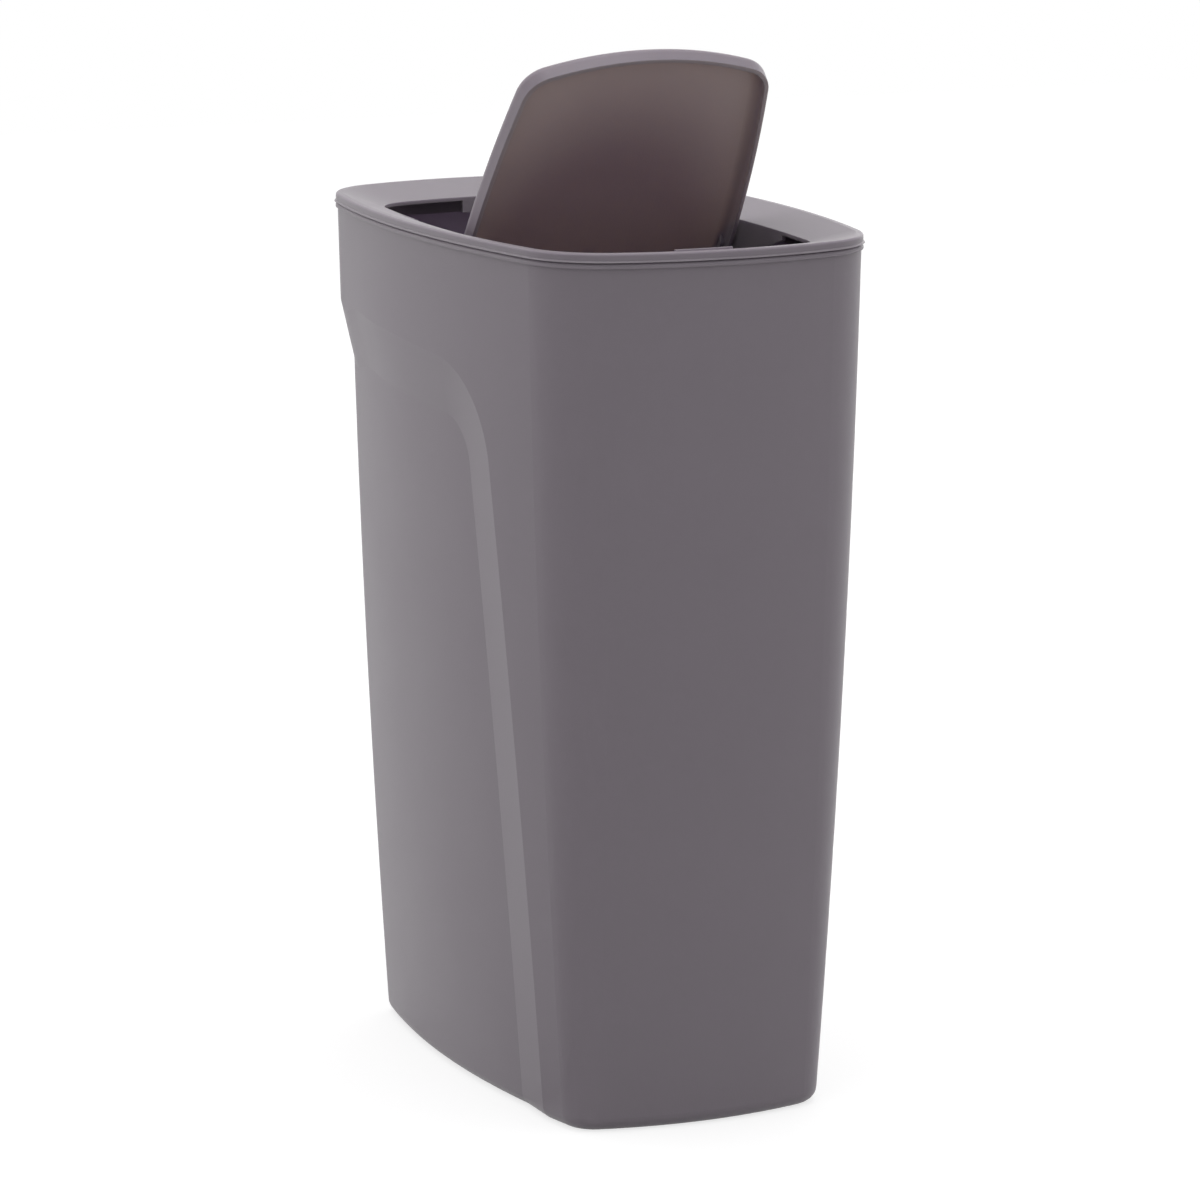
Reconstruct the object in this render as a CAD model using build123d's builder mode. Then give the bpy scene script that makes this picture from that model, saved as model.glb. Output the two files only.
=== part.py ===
from build123d import *
import math
import os

# A slim kitchen bin with a swing lid: a moulded body, a lid frame that drops
# into its rim, and a flap that swings on two stub pins in the frame.
# Millimetres, +Z up. X runs across the narrow faces, -Y is the plain front
# face, and the origin is the middle of the base on the floor.

# Body outline at the rim and at the base, to the middle of each bowed side
rim_height = 400.0
rim_half_x = 92.5
rim_half_y = 151.6
rim_bow_x = 15.8
rim_bow_y = 17.4
rim_corner = 40.6
base_half_x = 73.8
base_half_y = 130.0
base_bow_x = 12.1
base_bow_y = 10.0
base_corner = 17.0
wall_swell = 0.1377
foot_radius = 7.0

# Body wall, floor and rim bead
wall = 1.8
floor_thickness = 2.2
base_recess_depth = 1.2
base_recess_inset = 14.0
base_recess_corner = 9.0
bead_height = 2.4
bead_proud = 0.8
bead_radius = 1.6

# Sunken panel that wraps the back of the body, with a sloped edge
panel_depth_top = 5.0
panel_depth_base = 3.5
slope_width_base = 25.0
slope_width_top = 28.0
leg_foot_girth = -93.5
leg_top_drop = 97.0
sweep_radius = 2500.0
leg_corner_radius = 50.0
top_sweep_angle = 4.0
slope_overlap = 0.3
path_overrun = 120.0
foot_overrun = 16.0
border_steps = 6

# Lid frame: band, ridge, sloping ring and locating skirt
seat_gap = 0.3
band_proud = 0.7
band_flare = 0.6
flare_height = 0.9
band_height = 4.1
band_radius = 1.1
ridge_inset = 2.2
ring_drop = 5.8
ring_thickness = 1.8
skirt_clearance = 0.3
skirt_wall = 1.8
skirt_depth = 12.0

# Opening in the lid frame
opening_half_x = 69.8
opening_half_y = 121.0
opening_bow_x = 7.7
opening_bow_y = 11.2
opening_corner = 22.0
tab_half_width = 14.0
tab_thickness = 1.5
tab_drop = 7.6
tab_rise = 2.8

# Pivot ears that hang from the long sides of the opening. The left one is freed by
# a slot and dips in its middle, so that it springs when the flap is pressed in
pivot_drop = 11.6
ear_thickness = 1.8
ear_half_length = 63.0
ear_shoulder = 4.0
ear_foot_half_length = 13.0
ear_below_pivot = 8.0
ear_radius = 6.0
ear_slot_width = 2.5
ear_slot_end_gap = 2.0
ear_dip_half_length = 46.0
ear_dip_slope = 12.0
ear_dip_depth = 3.0

# Flap: a shallow dish with stub pins, shown standing open
open_angle = 56.6
flap_gap_x = 0.9
flap_gap_y = 3.3
flap_draft = 1.2
flap_corner = 17.0
flap_height = 9.5
flap_edge_below_pivot = 9.0
flap_wall = 1.8
flap_edge_radius = 4.0
flap_inner_radius = 4.5
pin_radius = 2.5
pin_clearance = 0.05
pin_overhang = 0.6
pin_chamfer = 0.5
boss_radius = 4.6
boss_length = 4.0

os.makedirs("parts", exist_ok=True)

# Heights that follow from the rim's
leg_height = rim_height - leg_top_drop
pivot_height = rim_height - pivot_drop


def between(start, end, share):
    """Value that lies the given share of the way from start to end."""
    return start + (end - start) * share


def bowed_outline(half_x, half_y, bow_x, bow_y, corner):
    """Rounded rectangle whose four sides bow outward as single arcs."""
    corner_x = half_x - bow_x
    corner_y = half_y - bow_y
    with BuildSketch() as shape:
        with BuildLine():
            ThreePointArc((corner_x, -corner_y), (half_x, 0), (corner_x, corner_y))
            ThreePointArc((corner_x, corner_y), (0, half_y), (-corner_x, corner_y))
            ThreePointArc((-corner_x, corner_y), (-half_x, 0), (-corner_x, -corner_y))
            ThreePointArc((-corner_x, -corner_y), (0, -half_y), (corner_x, -corner_y))
        make_face()
        fillet(shape.vertices(), corner)
    return shape.sketch


def body_size(height, inset):
    """Outline sizes of the body at a height, drawn in from the outside by inset."""
    level = height / rim_height
    share = level + 4 * wall_swell * level * (1 - level)
    return (
        between(base_half_x, rim_half_x, share) - inset,
        between(base_half_y, rim_half_y, share) - inset,
        between(base_bow_x, rim_bow_x, share),
        between(base_bow_y, rim_bow_y, share),
        between(base_corner, rim_corner, share) - inset,
    )


def panel_depth(height):
    """Depth of the sunken panel below the body's outside at a height."""
    return between(panel_depth_base, panel_depth_top, height / rim_height)


def body_form(inset, sunk):
    """Solid form of the body: full, or drawn in by the panel depth when sunk is 1."""
    with BuildPart() as form:
        for level in (0, 0.5, 1):
            height = level * rim_height
            with BuildSketch(Plane.XY.offset(height)):
                add(bowed_outline(*body_size(height, inset + sunk * panel_depth(height))))
        loft()
    return form.part


def arc_radius(half_chord, bow):
    """Radius of an arc from its half chord and its height."""
    return (half_chord**2 + bow**2) / (2 * bow)


def wall_point(girth, height, inset):
    """Point on the left wall, girth being measured round it from the side's middle."""
    half_x, half_y, bow_x, bow_y, corner = body_size(height, inset)
    side_radius = arc_radius(half_y - bow_y, bow_x)
    end_radius = arc_radius(half_x - bow_x, bow_y)
    side_centre = Vector(half_x - side_radius, 0)
    end_centre = Vector(0, half_y - end_radius)
    span = end_centre - side_centre
    side_reach = side_radius - corner
    end_reach = end_radius - corner
    along = (side_reach**2 - end_reach**2 + span.length**2) / (2 * span.length)
    across = math.sqrt(side_reach**2 - along**2)
    step = span.normalized()
    corner_centre = side_centre + step * along + Vector(-step.Y, step.X) * across
    side_angle = math.atan2(corner_centre.Y, corner_centre.X - side_centre.X)
    end_angle = math.atan2(corner_centre.Y - end_centre.Y, corner_centre.X)

    side_length = side_radius * side_angle
    corner_length = corner * (end_angle - side_angle)
    reach = abs(girth)
    if reach < side_length:
        centre, radius, angle = side_centre, side_radius, reach / side_radius
    elif reach < side_length + corner_length:
        angle = side_angle + (reach - side_length) / corner
        centre, radius = corner_centre, corner
    else:
        angle = end_angle + (reach - side_length - corner_length) / end_radius
        centre, radius = end_centre, end_radius
    x = centre.X + radius * math.cos(angle)
    y = centre.Y + radius * math.sin(angle)
    return Vector(-x, math.copysign(y, girth), height)


def slope_path():
    """Outer edge of the slope, drawn flat as girth and height on the unrolled wall."""
    leg_angle = math.degrees(math.asin(leg_height / sweep_radius))
    corner_angle = 90 - leg_angle - top_sweep_angle
    with BuildLine() as path:
        Line((leg_foot_girth, -foot_overrun), (leg_foot_girth, 0))
        leg = JernArc((leg_foot_girth, 0), (0, 1), sweep_radius, -leg_angle)
        turn = JernArc(leg @ 1, leg % 1, leg_corner_radius, -corner_angle)
        top = JernArc(turn @ 1, turn % 1, sweep_radius, -top_sweep_angle)
        Line(top @ 1, top @ 1 + Vector(path_overrun, 0))
    return path.edges()


def slope_border(edge, across, inset):
    """Curve along the slope, across running from 0 at its outer edge to 1 at the panel."""
    points = []
    for step in range(border_steps + 1):
        spot = edge.position_at(step / border_steps)
        heading = edge.tangent_at(step / border_steps)
        width = between(slope_width_base, slope_width_top, spot.Y / rim_height)
        place = spot + Vector(heading.Y, -heading.X) * width * across
        points.append(wall_point(place.X, place.Y, inset + across * panel_depth(place.Y)))
    return Edge.make_spline(points)


def slope_shell(inset):
    """Sloped edge of the sunken panel, a ribbon that runs up the side and round the back."""
    strips = []
    for edge in slope_path():
        outer = slope_border(edge, -slope_overlap, inset)
        inner = slope_border(edge, 1 + slope_overlap, inset)
        strips.append(Face.make_surface_from_curves(outer, inner))
    return Shell(strips)


def panel_relief(inset):
    """Left half of what the sunken panel takes away from the full form."""
    with BuildPart() as relief:
        add(body_form(inset, 0))
        add(body_form(inset, 1), mode=Mode.SUBTRACT)
        split(bisect_by=Plane.YZ, keep=Keep.BOTTOM)
        split(bisect_by=slope_shell(inset), keep=Keep.BOTH)
    return relief.solids().sort_by(Axis.Y)[-1]


def stepped_form(inset, bottom, rounding):
    """Form of the body with its sunken panel, drawn in by inset and cut off at the bottom."""
    relief = panel_relief(inset)
    with BuildPart() as form:
        add(body_form(inset, 0))
        add(relief, mode=Mode.SUBTRACT)
        add(relief.mirror(Plane.YZ), mode=Mode.SUBTRACT)
        split(bisect_by=Plane.XY.offset(bottom), keep=Keep.TOP)
        fillet(form.faces().sort_by(Axis.Z)[0].edges(), rounding)
    return form.part


def rim_outline(grow):
    """Outline of the body at the rim, grown outward."""
    return bowed_outline(*body_size(rim_height, -grow))


def opening_outline(grow):
    """Outline of the opening in the lid frame, grown outward."""
    return bowed_outline(
        opening_half_x + grow,
        opening_half_y + grow,
        opening_bow_x,
        opening_bow_y,
        opening_corner + grow,
    )


# Body: one moulding, drafted and bowed, hollow from the rim down
floor_top = base_recess_depth + floor_thickness
with BuildPart() as bin_body:
    add(stepped_form(0, 0, foot_radius))
    with BuildSketch(Plane.XY.offset(rim_height - bead_height)):
        add(rim_outline(bead_proud))
    extrude(amount=bead_height)
    bead_edges = bin_body.faces().filter_by(Axis.Z).sort_by(Axis.Z)[-1].edges()
    fillet(bead_edges, bead_radius)
    add(stepped_form(wall, floor_top, foot_radius - wall), mode=Mode.SUBTRACT)
    base_recess_size = body_size(0, panel_depth_base + base_recess_inset)[:4]
    with BuildSketch(Plane.XY):
        add(bowed_outline(*base_recess_size, base_recess_corner))
    extrude(amount=base_recess_depth, mode=Mode.SUBTRACT)
bin_body.part.label = "bin_body"
export_step(bin_body.part, "parts/bin_body.step")

# Lid frame: band on the rim, ring that slopes down to the opening, skirt inside
band_bottom = rim_height + seat_gap
ridge_top = band_bottom + band_height
ring_edge = ridge_top - ring_drop
skirt_inset = wall + skirt_clearance
skirt_bottom = rim_height - skirt_depth
ear_bottom = pivot_height - ear_below_pivot

with BuildPart() as under_ring:
    with BuildSketch(Plane.XY.offset(ring_edge - ring_thickness)):
        add(opening_outline(0))
    with BuildSketch(Plane.XY.offset(ridge_top - ring_thickness)):
        add(rim_outline(-ridge_inset))
    loft(ruled=True)

with BuildPart() as skirt_hollow:
    with BuildSketch(Plane.XY.offset(skirt_bottom)):
        add(bowed_outline(*body_size(skirt_bottom, skirt_inset + skirt_wall)))
    with BuildSketch(Plane.XY.offset(ridge_top - ring_thickness)):
        add(bowed_outline(*body_size(rim_height, skirt_inset + skirt_wall)))
    loft(ruled=True)
    add(under_ring.part, mode=Mode.SUBTRACT)

with BuildPart() as above_ring:
    with BuildSketch(Plane.XY.offset(ring_edge)):
        add(opening_outline(0))
    with BuildSketch(Plane.XY.offset(ridge_top)):
        add(rim_outline(-ridge_inset))
    loft(ruled=True)

with BuildPart() as pivot_ears:
    with BuildSketch(Plane.XY.offset(ear_bottom)):
        add(opening_outline(ear_thickness))
        add(opening_outline(0), mode=Mode.SUBTRACT)
    extrude(amount=ring_edge - ear_bottom)
    with BuildSketch(Plane.YZ) as ear_profile:
        with BuildLine():
            Polyline(
                (-ear_half_length, ring_edge),
                (-ear_half_length, ring_edge - ear_shoulder),
                (-ear_foot_half_length, ear_bottom),
                (ear_foot_half_length, ear_bottom),
                (ear_half_length, ring_edge - ear_shoulder),
                (ear_half_length, ring_edge),
                close=True,
            )
        make_face()
        foot_corners = ear_profile.vertices().group_by(Axis.Y)[0]
        fillet(foot_corners, ear_radius)
    extrude(amount=rim_half_x, both=True, mode=Mode.INTERSECT)

with BuildPart() as ear_slots:
    with BuildSketch(Plane.XY.offset(ear_bottom)):
        add(opening_outline(ear_thickness + ear_slot_width))
        add(opening_outline(ear_thickness), mode=Mode.SUBTRACT)
    extrude(amount=ridge_top - ear_bottom)
    with BuildSketch(Plane.XY.offset(ear_bottom)):
        with Locations((-rim_half_x / 2, 0)):
            Rectangle(rim_half_x, 2 * (ear_half_length - ear_slot_end_gap))
    extrude(amount=ridge_top - ear_bottom, mode=Mode.INTERSECT)

with BuildPart() as ear_dip:
    dip_bottom = ring_edge - ear_dip_depth
    dip_half_floor = ear_dip_half_length - ear_dip_slope
    with BuildSketch(Plane.YZ):
        with BuildLine():
            Polyline(
                (-ear_dip_half_length, ridge_top),
                (-ear_dip_half_length, ring_edge),
                (-dip_half_floor, dip_bottom),
                (dip_half_floor, dip_bottom),
                (ear_dip_half_length, ring_edge),
                (ear_dip_half_length, ridge_top),
                close=True,
            )
        make_face()
    extrude(amount=-rim_half_x)
    with BuildSketch(Plane.XY.offset(dip_bottom)):
        add(opening_outline(ear_thickness + ear_slot_width / 2))
    extrude(amount=ridge_top - dip_bottom, mode=Mode.INTERSECT)

with BuildPart() as end_tabs:
    with BuildSketch(Plane.XY.offset(ring_edge - tab_drop)):
        add(opening_outline(tab_thickness))
        add(opening_outline(0), mode=Mode.SUBTRACT)
        Rectangle(2 * tab_half_width, 2 * rim_half_y, mode=Mode.INTERSECT)
    extrude(amount=tab_drop)
    front_tab_top = end_tabs.faces().filter_by(Axis.Z).group_by(Axis.Z)[-1].sort_by(Axis.Y)[0]
    extrude(front_tab_top, amount=tab_rise)

with BuildPart() as lid_frame:
    with BuildSketch(Plane.XY.offset(band_bottom)):
        add(rim_outline(band_proud + band_flare))
    with BuildSketch(Plane.XY.offset(band_bottom + flare_height)):
        add(rim_outline(band_proud))
    loft(ruled=True)
    with BuildSketch(Plane.XY.offset(band_bottom + flare_height)):
        add(rim_outline(band_proud))
    extrude(amount=band_height - flare_height)
    fillet(lid_frame.faces().sort_by(Axis.Z)[-1].edges(), band_radius)
    with BuildSketch(Plane.XY.offset(skirt_bottom)):
        add(bowed_outline(*body_size(skirt_bottom, skirt_inset)))
    with BuildSketch(Plane.XY.offset(band_bottom)):
        add(bowed_outline(*body_size(band_bottom, skirt_inset)))
    loft(ruled=True)
    add(skirt_hollow.part, mode=Mode.SUBTRACT)
    add(above_ring.part, mode=Mode.SUBTRACT)
    with BuildSketch(Plane.XY.offset(skirt_bottom)):
        add(opening_outline(0))
    extrude(amount=ridge_top - skirt_bottom, mode=Mode.SUBTRACT)
    add(ear_slots.part, mode=Mode.SUBTRACT)
    add(pivot_ears.part)
    add(end_tabs.part)
    add(ear_dip.part, mode=Mode.SUBTRACT)
    with BuildSketch(Plane.YZ):
        with Locations((0, pivot_height)):
            Circle(pin_radius + pin_clearance)
    extrude(amount=rim_half_x - skirt_inset - skirt_wall, both=True, mode=Mode.SUBTRACT)
lid_frame.part.label = "lid_frame"
export_step(lid_frame.part, "parts/lid_frame.step")

# Flap: drawn closed, on a plane through the pins that tips with the open angle
tilt = math.radians(open_angle)
flap_plane = Plane(
    origin=(0, 0, pivot_height),
    x_dir=(1, 0, 0),
    z_dir=(0, math.sin(tilt), math.cos(tilt)),
)
flap_top = flap_height - flap_edge_below_pivot


def flap_outline(inset):
    """Outline of the flap's top, drawn inward."""
    return bowed_outline(
        opening_half_x - flap_gap_x - inset,
        opening_half_y - flap_gap_y - inset,
        opening_bow_x,
        opening_bow_y,
        flap_corner - inset,
    )


with BuildPart() as flap_hollow:
    with BuildSketch(flap_plane.offset(-flap_edge_below_pivot)):
        add(flap_outline(flap_draft + flap_wall))
    with BuildSketch(flap_plane.offset(flap_top - flap_wall)):
        add(flap_outline(flap_wall))
    loft(ruled=True)
    hollow_roof = flap_hollow.faces().sort_by(Axis((0, 0, 0), flap_plane.z_dir))[-1]
    fillet(hollow_roof.edges(), flap_inner_radius)

with BuildPart() as swing_flap:
    with BuildSketch(flap_plane.offset(-flap_edge_below_pivot)):
        add(flap_outline(flap_draft))
    with BuildSketch(flap_plane.offset(flap_top)):
        add(flap_outline(0))
    loft(ruled=True)
    roof = swing_flap.faces().sort_by(Axis((0, 0, 0), flap_plane.z_dir))[-1]
    fillet(roof.edges(), flap_edge_radius)
    add(flap_hollow.part, mode=Mode.SUBTRACT)
    boss_end = opening_half_x - flap_gap_x - flap_draft / 2
    pin_end = opening_half_x + ear_thickness + pin_overhang
    for side in (-1, 1):
        with BuildSketch(Plane(origin=(side * boss_end, 0, pivot_height), z_dir=(-side, 0, 0))):
            Circle(boss_radius)
        extrude(amount=boss_length)
        with BuildSketch(Plane(origin=(side * boss_end, 0, pivot_height), z_dir=(side, 0, 0))):
            Circle(pin_radius)
        extrude(amount=pin_end - boss_end)
    pin_tips = swing_flap.faces().filter_by(Axis.X).group_by(Axis.X)
    chamfer(pin_tips[0].edges() + pin_tips[-1].edges(), pin_chamfer)
swing_flap.part.label = "swing_flap"
export_step(swing_flap.part, "parts/swing_flap.step")
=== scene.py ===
import math

import bmesh
import bpy
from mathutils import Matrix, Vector

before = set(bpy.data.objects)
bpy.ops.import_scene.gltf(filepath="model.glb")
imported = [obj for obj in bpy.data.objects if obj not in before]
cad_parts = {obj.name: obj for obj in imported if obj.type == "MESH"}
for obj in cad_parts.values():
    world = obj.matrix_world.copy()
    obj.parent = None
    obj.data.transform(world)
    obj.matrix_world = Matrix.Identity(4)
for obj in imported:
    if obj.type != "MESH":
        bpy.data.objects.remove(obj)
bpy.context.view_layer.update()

# Body: the tall drafted tub with its bowed walls and the sunken panel round its back.
# One injection moulding in dyed polypropylene, left as it comes from a finely eroded
# tool: the colour goes right through, the finish is a soft satin grain.
body_finish = {
    "colour": (0.25, 0.221, 0.25),
    "clouds": 0.06,
    "roughness": 0.4,
    "grain": 0.5,
    "glow": 0.6,
    "glow_depth": 0.006,
    "glow_spread": (1.0, 0.92, 1.05),
}
cloud_scale = 14.0
cloud_detail = 3.0
cloud_roughness = 0.55
cloud_middle = 0.5
gloss_spread = 0.12
grain_size = 0.0007
grain_smoothness = 0.6
grain_depth = 0.00006
edge_softness = 0.0004
edge_samples = 4
plastic_ior = 1.49
plastic_shine = 0.27


def add_node(tree, kind, **settings):
    """New node in a tree, with the named properties and input values set."""
    node = tree.nodes.new(kind)
    for name, value in settings.items():
        if hasattr(node, name):
            setattr(node, name, value)
        else:
            node.inputs[name.replace("_", " ")].default_value = value
    return node


def moulded_finish():
    """Node group for moulded plastic: clouds in the dye, eroded grain and softened edges."""
    group = bpy.data.node_groups.new("moulded_finish", "ShaderNodeTree")
    for name, kind, way in (
        ("Dye", "NodeSocketColor", "INPUT"),
        ("Clouds", "NodeSocketFloat", "INPUT"),
        ("Gloss", "NodeSocketFloat", "INPUT"),
        ("Grain", "NodeSocketFloat", "INPUT"),
        ("Color", "NodeSocketColor", "OUTPUT"),
        ("Roughness", "NodeSocketFloat", "OUTPUT"),
        ("Normal", "NodeSocketVector", "OUTPUT"),
    ):
        group.interface.new_socket(name, in_out=way, socket_type=kind)
    given = group.nodes.new("NodeGroupInput")
    made = group.nodes.new("NodeGroupOutput")
    place = add_node(group, "ShaderNodeTexCoord")

    clouds = add_node(
        group,
        "ShaderNodeTexNoise",
        Scale=cloud_scale,
        Detail=cloud_detail,
        Roughness=cloud_roughness,
    )
    group.links.new(place.outputs["Object"], clouds.inputs["Vector"])
    centred = add_node(group, "ShaderNodeMath", operation="SUBTRACT")
    centred.inputs[1].default_value = cloud_middle
    group.links.new(clouds.outputs["Fac"], centred.inputs[0])
    spread = add_node(group, "ShaderNodeMath", operation="MULTIPLY_ADD")
    group.links.new(centred.outputs[0], spread.inputs[0])
    group.links.new(given.outputs["Clouds"], spread.inputs[1])
    spread.inputs[2].default_value = 1.0
    dye = add_node(group, "ShaderNodeVectorMath", operation="SCALE")
    group.links.new(given.outputs["Dye"], dye.inputs[0])
    group.links.new(spread.outputs[0], dye.inputs["Scale"])
    group.links.new(dye.outputs[0], made.inputs["Color"])

    grain = add_node(
        group,
        "ShaderNodeTexVoronoi",
        feature="SMOOTH_F1",
        Scale=1 / grain_size,
        Smoothness=grain_smoothness,
    )
    group.links.new(place.outputs["Object"], grain.inputs["Vector"])
    edges = add_node(group, "ShaderNodeBevel", samples=edge_samples, Radius=edge_softness)
    bump = add_node(group, "ShaderNodeBump", Distance=grain_depth)
    group.links.new(edges.outputs["Normal"], bump.inputs["Normal"])
    group.links.new(given.outputs["Grain"], bump.inputs["Strength"])
    group.links.new(grain.outputs["Distance"], bump.inputs["Height"])
    group.links.new(bump.outputs["Normal"], made.inputs["Normal"])

    gloss = add_node(group, "ShaderNodeMath", operation="MULTIPLY_ADD")
    group.links.new(centred.outputs[0], gloss.inputs[0])
    gloss.inputs[1].default_value = gloss_spread
    group.links.new(given.outputs["Gloss"], gloss.inputs[2])
    group.links.new(gloss.outputs[0], made.inputs["Roughness"])
    return group


finish_group = moulded_finish()


def moulded_plastic(name, colour, clouds, roughness, grain, glow, glow_depth, glow_spread):
    """Dyed polypropylene: a satin surface in which a little light spreads."""
    material = bpy.data.materials.new(name)
    material.use_nodes = True
    tree = material.node_tree
    surface = tree.nodes["Principled BSDF"]
    surface.inputs["IOR"].default_value = plastic_ior
    surface.inputs["Specular IOR Level"].default_value = plastic_shine
    surface.inputs["Subsurface Weight"].default_value = glow
    surface.inputs["Subsurface Radius"].default_value = glow_spread
    surface.inputs["Subsurface Scale"].default_value = glow_depth
    finish = add_node(tree, "ShaderNodeGroup", name="finish", node_tree=finish_group)
    finish.inputs["Dye"].default_value = (*colour, 1)
    finish.inputs["Clouds"].default_value = clouds
    finish.inputs["Gloss"].default_value = roughness
    finish.inputs["Grain"].default_value = grain
    tree.links.new(finish.outputs["Color"], surface.inputs["Base Color"])
    tree.links.new(finish.outputs["Roughness"], surface.inputs["Roughness"])
    tree.links.new(finish.outputs["Normal"], surface.inputs["Normal"])
    return material


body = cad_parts["bin_body"]
body.data.materials[0] = moulded_plastic("body_plastic", **body_finish)

# Lid frame: the ring that drops into the rim, with its ridge, sloping face and the
# pivot ears and tabs below. Moulded from the same dyed plastic and lifted off by hand,
# so it is rubbed a touch smoother than the walls.
lid_finish = {
    "colour": (0.25, 0.221, 0.25),
    "clouds": 0.05,
    "roughness": 0.38,
    "grain": 0.45,
    "glow": 0.6,
    "glow_depth": 0.005,
    "glow_spread": (1.0, 0.92, 1.05),
}
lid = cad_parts["lid_frame"]
lid.data.materials[0] = moulded_plastic("lid_plastic", **lid_finish)

# Flap: the shallow dish that swings on its two stub pins, standing open here. Inside the dish
# the colour is painted: painted warm light towards the edge, and painted shade where it
# is low in the middle.
flap_finish = {
    "colour": (0.25, 0.217, 0.252),
    "clouds": 0.05,
    "roughness": 0.38,
    "grain": 0.4,
    "glow": 0.4,
    "glow_depth": 0.011,
    "glow_spread": (1.0, 0.85, 0.75),
}
# Painted colours for the inside of the dish: painted shade for the middle, painted warm light for
# the edge.
painted_dish_shade_colour = (0.12, 0.094, 0.138)
painted_dish_light_colour = (0.285, 0.251, 0.27)
flap_tilt = math.radians(56.6)
pivot_height = 0.3884
# Where the painted shade sits: a centre on the flap, its half width and half length, and the
# levels where painted shade turns to painted light.
painted_shade_centre = 0.05
painted_shade_half_width = 0.09
painted_shade_half_length = 0.15
painted_shade_core = 0.6
painted_light_edge = 1.15
inside_begins = 0.2
inside_full = 0.7


def smooth_mask(tree, source, begins, full):
    """Value that rises smoothly from 0 to 1 between two levels of a socket."""
    ramp = add_node(tree, "ShaderNodeMapRange", interpolation_type="SMOOTHSTEP")
    ramp.inputs["From Min"].default_value = begins
    ramp.inputs["From Max"].default_value = full
    tree.links.new(source, ramp.inputs["Value"])
    return ramp.outputs["Result"]


def mixed_colour(tree, share, first, second):
    """Colour that goes from the first socket's to the second's by a share."""
    mix = add_node(tree, "ShaderNodeMix", data_type="RGBA")
    tree.links.new(share, mix.inputs["Factor"])
    tree.links.new(first, mix.inputs[6])
    tree.links.new(second, mix.inputs[7])
    return mix.outputs[2]


def painted_dish_shading():
    """Node group for the flap's colour: its dye outside, and inside the dish a painted shade in
    the middle that blends to painted light at the edge.
    """
    group = bpy.data.node_groups.new("painted_dish_shading", "ShaderNodeTree")
    for name in ("Outside", "Middle", "Edge"):
        group.interface.new_socket(name, in_out="INPUT", socket_type="NodeSocketColor")
    group.interface.new_socket("Color", in_out="OUTPUT", socket_type="NodeSocketColor")
    given = group.nodes.new("NodeGroupInput")
    made = group.nodes.new("NodeGroupOutput")
    place = add_node(group, "ShaderNodeTexCoord")

    # Distance from the painted shade's centre, measured in the flap's tilted plane.
    turn = add_node(group, "ShaderNodeMapping", vector_type="TEXTURE")
    turn.inputs["Location"].default_value = (
        0,
        painted_shade_centre * math.cos(flap_tilt),
        pivot_height - painted_shade_centre * math.sin(flap_tilt),
    )
    turn.inputs["Rotation"].default_value = (-flap_tilt, 0, 0)
    turn.inputs["Scale"].default_value = (painted_shade_half_width, painted_shade_half_length, 1)
    group.links.new(place.outputs["Object"], turn.inputs["Vector"])
    reach = add_node(group, "ShaderNodeVectorMath", operation="LENGTH")
    group.links.new(turn.outputs["Vector"], reach.inputs[0])
    # Painted light grows towards the dish edge; painted shade stays in the middle.
    painted_light_share = smooth_mask(group, reach.outputs["Value"], painted_shade_core, painted_light_edge)
    dish_painted_light_and_shade = mixed_colour(group, painted_light_share, given.outputs["Middle"], given.outputs["Edge"])

    # Only faces turned into the dish take the painted shade and light; the outside keeps the
    # plain dye.
    facing = add_node(group, "ShaderNodeVectorMath", operation="DOT_PRODUCT")
    facing.inputs[1].default_value = (0, -math.sin(flap_tilt), -math.cos(flap_tilt))
    group.links.new(place.outputs["Normal"], facing.inputs[0])
    inside = smooth_mask(group, facing.outputs["Value"], inside_begins, inside_full)
    dye = mixed_colour(group, inside, given.outputs["Outside"], dish_painted_light_and_shade)
    group.links.new(dye, made.inputs["Color"])
    return group


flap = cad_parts["swing_flap"]
flap_plastic = moulded_plastic("flap_plastic", **flap_finish)
flap_tree = flap_plastic.node_tree
# Node that paints shade and light into the dish on top of the flap's dye; it feeds the finish as
# its dye.
flap_dye_and_painted_shade = add_node(flap_tree, "ShaderNodeGroup", name="flap_dye_and_painted_shade", node_tree=painted_dish_shading())
for place_name, dye_colour in (
    ("Outside", flap_finish["colour"]),
    ("Middle", painted_dish_shade_colour),
    ("Edge", painted_dish_light_colour),
):
    flap_dye_and_painted_shade.inputs[place_name].default_value = (*dye_colour, 1)
flap_tree.links.new(flap_dye_and_painted_shade.outputs["Color"], flap_tree.nodes["finish"].inputs["Dye"])
flap.data.materials[0] = flap_plastic

# Studio: a white floor and backdrop under soft lamps, seen through a long lens from the
# front left. None of it is part of the bin.
white = (1, 1, 1, 1)
floor_half = 4.0
floor_grey = 0.4
floor_glow = 0.72
ambient_light = 0.74
backdrop_light = 1.0
lamp_aim = (0, 0, 0.25)
lamps = {
    "lamp_back_left": {"place": (-1.8, 1.8, 0.9), "size": 1.4, "watts": 5},
    "lamp_top": {"place": (0.0, 0.0, 2.6), "size": 1.6, "watts": 17},
    "lamp_back_right": {"place": (1.8, 1.8, 0.9), "size": 1.4, "watts": 5},
}
lens_length = 166.0
sensor_width = 36
camera_place = (-1.0485, -2.3293, 0.7158)
camera_pitch = 79.03
camera_turn = -24.32


def only_seen(tree):
    """Value that is 1 for the lens, mirrors and glass, and 0 for the light that falls."""
    path = tree.nodes.new("ShaderNodeLightPath")
    total = path.outputs["Is Camera Ray"]
    for ray in ("Is Glossy Ray", "Is Transmission Ray"):
        both = add_node(tree, "ShaderNodeMath", operation="ADD", use_clamp=True)
        tree.links.new(total, both.inputs[0])
        tree.links.new(path.outputs[ray], both.inputs[1])
        total = both.outputs[0]
    return total


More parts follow.
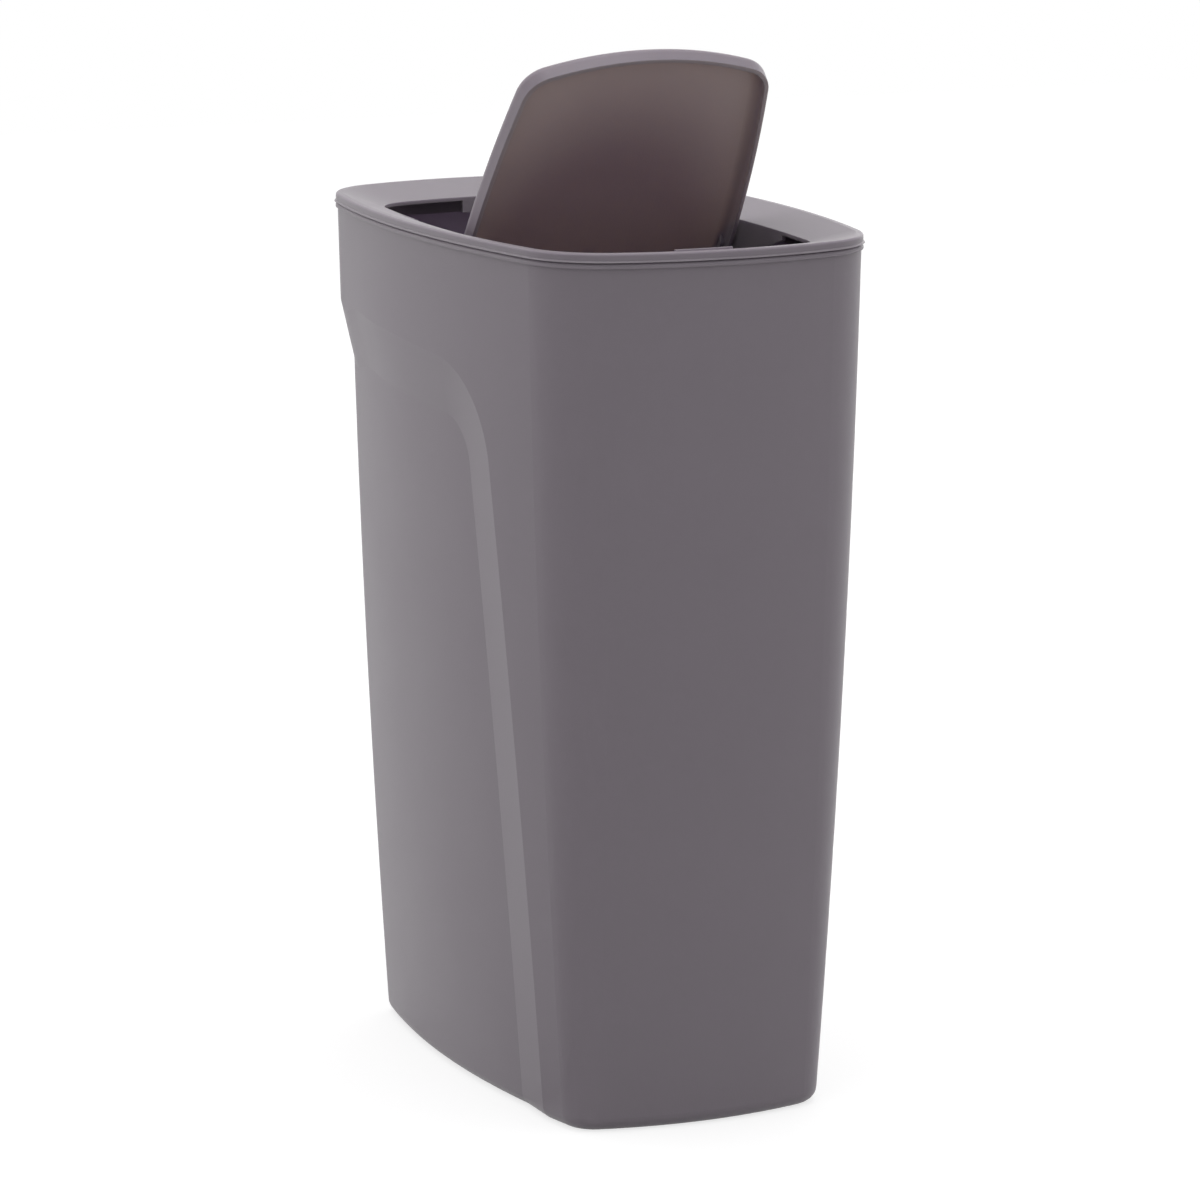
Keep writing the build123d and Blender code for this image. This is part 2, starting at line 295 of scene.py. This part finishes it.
floor_shape = bmesh.new()
bmesh.ops.create_grid(floor_shape, x_segments=1, y_segments=1, size=floor_half)
floor_mesh = bpy.data.meshes.new("floor")
floor_shape.to_mesh(floor_mesh)
floor_shape.free()
floor = bpy.data.objects.new("floor", floor_mesh)
bpy.context.scene.collection.objects.link(floor)

floor_material = bpy.data.materials.new("white_floor")
floor_material.use_nodes = True
floor_tree = floor_material.node_tree
floor_surface = floor_tree.nodes["Principled BSDF"]
floor_surface.inputs["Base Color"].default_value = (floor_grey, floor_grey, floor_grey, 1)
floor_surface.inputs["Roughness"].default_value = 1.0
floor_surface.inputs["Specular IOR Level"].default_value = 0.0
floor_surface.inputs["Emission Color"].default_value = white
seen_glow = add_node(floor_tree, "ShaderNodeMath", operation="MULTIPLY")
floor_tree.links.new(only_seen(floor_tree), seen_glow.inputs[0])
seen_glow.inputs[1].default_value = floor_glow
floor_tree.links.new(seen_glow.outputs[0], floor_surface.inputs["Emission Strength"])
floor_mesh.materials.append(floor_material)

world = bpy.data.worlds.new("studio")
world.use_nodes = True
bpy.context.scene.world = world
world_tree = world.node_tree
ambient = world_tree.nodes["Background"]
ambient.inputs["Color"].default_value = white
ambient.inputs["Strength"].default_value = ambient_light
backdrop = add_node(world_tree, "ShaderNodeBackground", Color=white, Strength=backdrop_light)
choice = world_tree.nodes.new("ShaderNodeMixShader")
world_tree.links.new(only_seen(world_tree), choice.inputs["Fac"])
world_tree.links.new(ambient.outputs["Background"], choice.inputs[1])
world_tree.links.new(backdrop.outputs["Background"], choice.inputs[2])
world_tree.links.new(choice.outputs["Shader"], world_tree.nodes["World Output"].inputs["Surface"])

for lamp_name, given_lamp in lamps.items():
    lamp = bpy.data.lights.new(lamp_name, "AREA")
    lamp.size = given_lamp["size"]
    lamp.energy = given_lamp["watts"]
    holder = bpy.data.objects.new(lamp_name, lamp)
    holder.location = given_lamp["place"]
    facing = Vector(lamp_aim) - Vector(given_lamp["place"])
    holder.rotation_euler = facing.to_track_quat("-Z", "Y").to_euler()
    bpy.context.scene.collection.objects.link(holder)

lens = bpy.data.cameras.new("long_lens")
lens.lens = lens_length
lens.sensor_width = sensor_width
camera = bpy.data.objects.new("camera", lens)
camera.location = camera_place
camera.rotation_euler = (math.radians(camera_pitch), 0, math.radians(camera_turn))
bpy.context.scene.collection.objects.link(camera)
bpy.context.scene.camera = camera
bpy.context.scene.view_settings.view_transform = "Standard"
